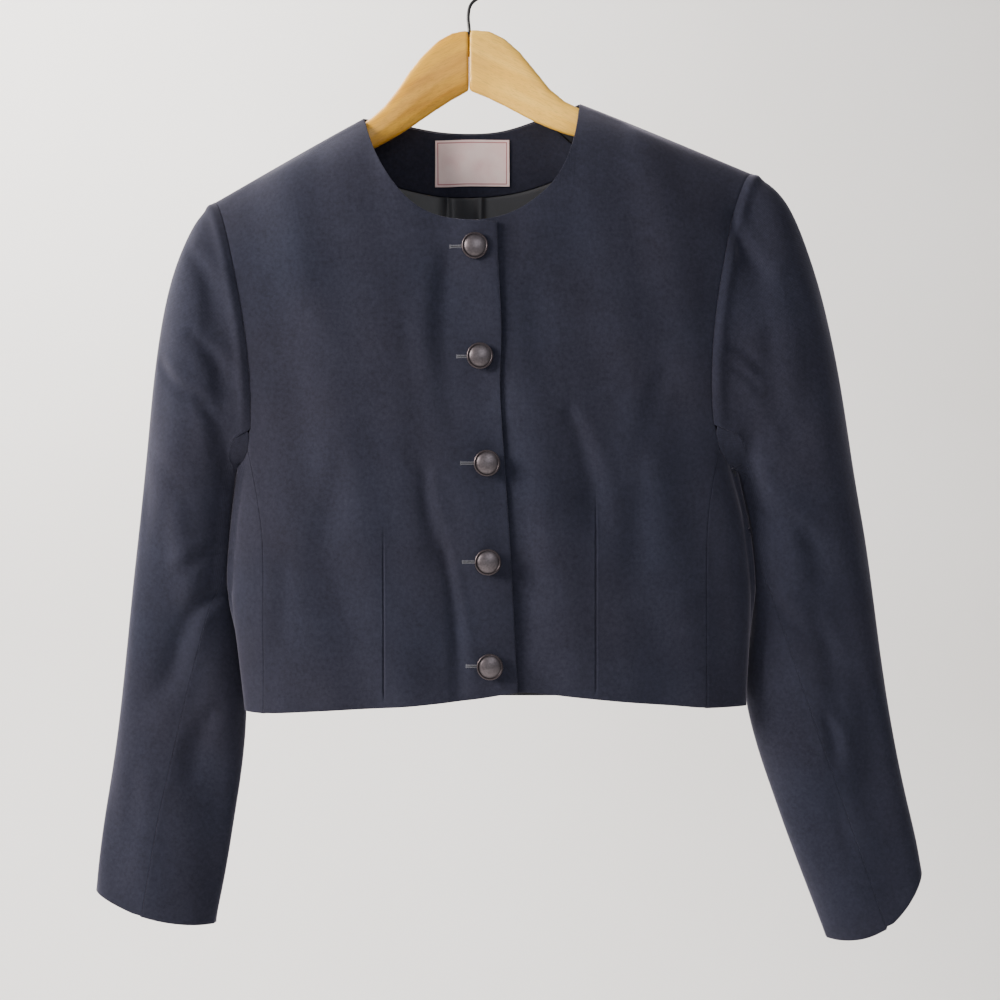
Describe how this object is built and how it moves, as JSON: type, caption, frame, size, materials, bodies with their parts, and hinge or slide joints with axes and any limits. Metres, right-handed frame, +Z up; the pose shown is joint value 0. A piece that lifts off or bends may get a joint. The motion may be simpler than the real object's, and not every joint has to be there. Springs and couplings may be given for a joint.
{
  "type": "cropped wool jacket on a hanger",
  "caption": "Collarless cropped wool jacket with long two-piece sleeves, a buttoned lapped front and a round neck, hanging buttoned on a plain wooden hanger with a wire hook.",
  "frame": {"origin": "inside top of the hook's crook, where a rail or peg carries the hanger", "axes": "+Z up, -Y towards the front of the jacket, +X towards the wearer's left"},
  "size_m": [0.6504, 0.0865, 0.7765],
  "materials": {
    "wool": "matte worsted wool with a faint nap",
    "satin_lining": "satin",
    "label_cloth": "woven",
    "button": "satin with a metallic cast",
    "wood": "clear satin lacquer",
    "hook_wire": "black satin"
  },
  "bodies": {
    "root": {"front_right": "wool", "front_left": "wool", "back": "wool", "side_panel_right": "wool", "side_panel_left": "wool", "sleeve_right_upper": "wool", "sleeve_right_under": "wool", "sleeve_left_upper": "wool", "sleeve_left_under": "wool", "back_neck_facing": "wool", "lining_back": "satin_lining", "label": "label_cloth", "button_1": "button", "button_2": "button", "button_3": "button", "button_4": "button", "button_5": "button", "hanger_arm_right": "wood", "hanger_arm_left": "wood", "hanger_hook": "hook_wire"}
  },
  "joints": []
}
